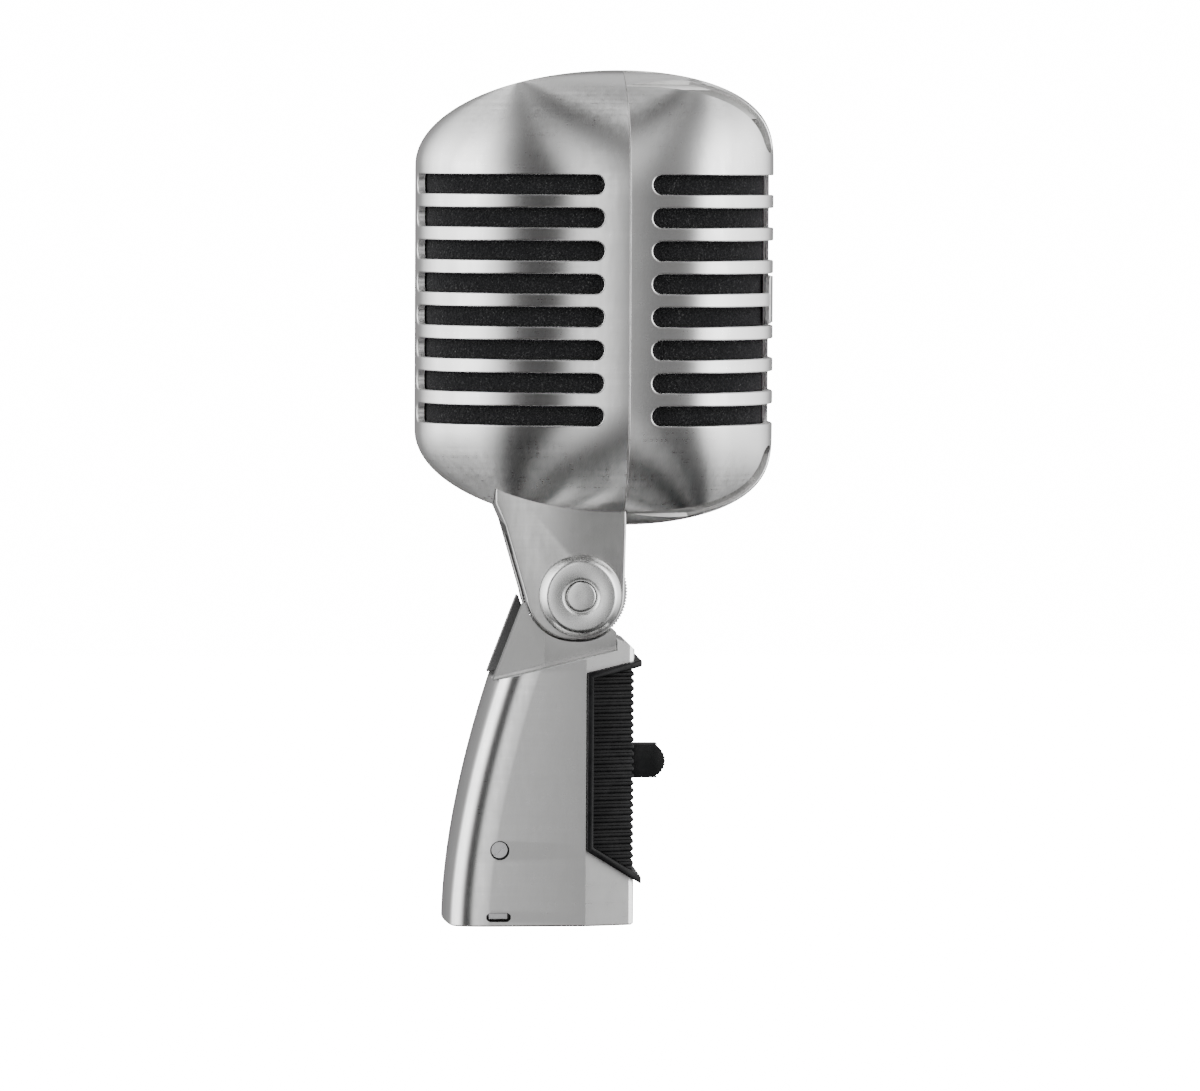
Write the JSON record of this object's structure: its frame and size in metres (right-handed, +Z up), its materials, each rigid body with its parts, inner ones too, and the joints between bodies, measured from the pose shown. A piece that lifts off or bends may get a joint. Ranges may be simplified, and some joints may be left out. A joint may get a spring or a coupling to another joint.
{
  "type": "microphone",
  "caption": "Side-address vocal microphone with a slotted, domed metal head on a tilting neck over a cast base with a slide switch.",
  "frame": {"origin": "centre of the stand thread's mouth, in the base's bottom face", "axes": "+Z up; -Y is the front, the side that is spoken to; +X along the hinge, to the speaker's left"},
  "size_m": [0.056, 0.0779, 0.186],
  "materials": {
    "satin_chrome": "satin brushed plating with a fine horizontal grain",
    "steel": "machined",
    "foam": "open-cell foam, matt black",
    "black_plastic": "moulded, low sheen",
    "rubber": "matt",
    "brass": "turned",
    "contact": "plated, smooth",
    "copper": "enamelled winding",
    "film": "thin moulded film",
    "magnet": "sintered",
    "lead_red": "insulated wire",
    "lead_blue": "insulated wire"
  },
  "bodies": {
    "base": {"base_housing": "satin_chrome", "swivel_bracket": "satin_chrome", "bracket_screws": "steel", "pivot_pin": "steel", "pivot_washers": "rubber", "thread_insert": "brass", "insert_pins": "steel", "connector_insulator": "black_plastic", "connector_pins": "contact", "connector_screw": "steel", "connector_latch": "steel", "transformer_core": "steel", "transformer_coil": "copper", "front_panel": "black_plastic", "panel_frame": "black_plastic", "panel_screws": "steel", "switch_body": "steel", "switch_screws": "steel", "switch_terminals": "contact", "base_leads": "lead_blue"},
    "head": {"front_casing": "satin_chrome", "rear_casing": "satin_chrome", "front_foam": "foam", "rear_foam": "foam", "nameplate": "satin_chrome", "neck": "satin_chrome", "neck_screws": "steel", "pivot_caps": "satin_chrome", "friction_wheel": "steel", "shock_mount": "rubber", "capsule_bracket": "steel", "bracket_nuts": "steel", "capsule_housing": "steel", "capsule_grille": "steel", "diaphragm": "film", "voice_coil": "copper", "magnet": "magnet", "pole_piece": "steel", "top_plate": "steel", "head_leads": "lead_red"},
    "switch": {"switch_knob": "black_plastic"}
  },
  "joints": [
    {"name": "head_tilt", "type": "hinge", "parent": "base", "child": "head", "pos_m": [0, 0, 0.072], "axis": [1, 0, 0], "range_deg": [-5, 45]},
    {"name": "switch_slide", "type": "slide", "parent": "base", "child": "switch", "axis": [0, 0, 1], "range_m": [-0.004, 0]}
  ]
}
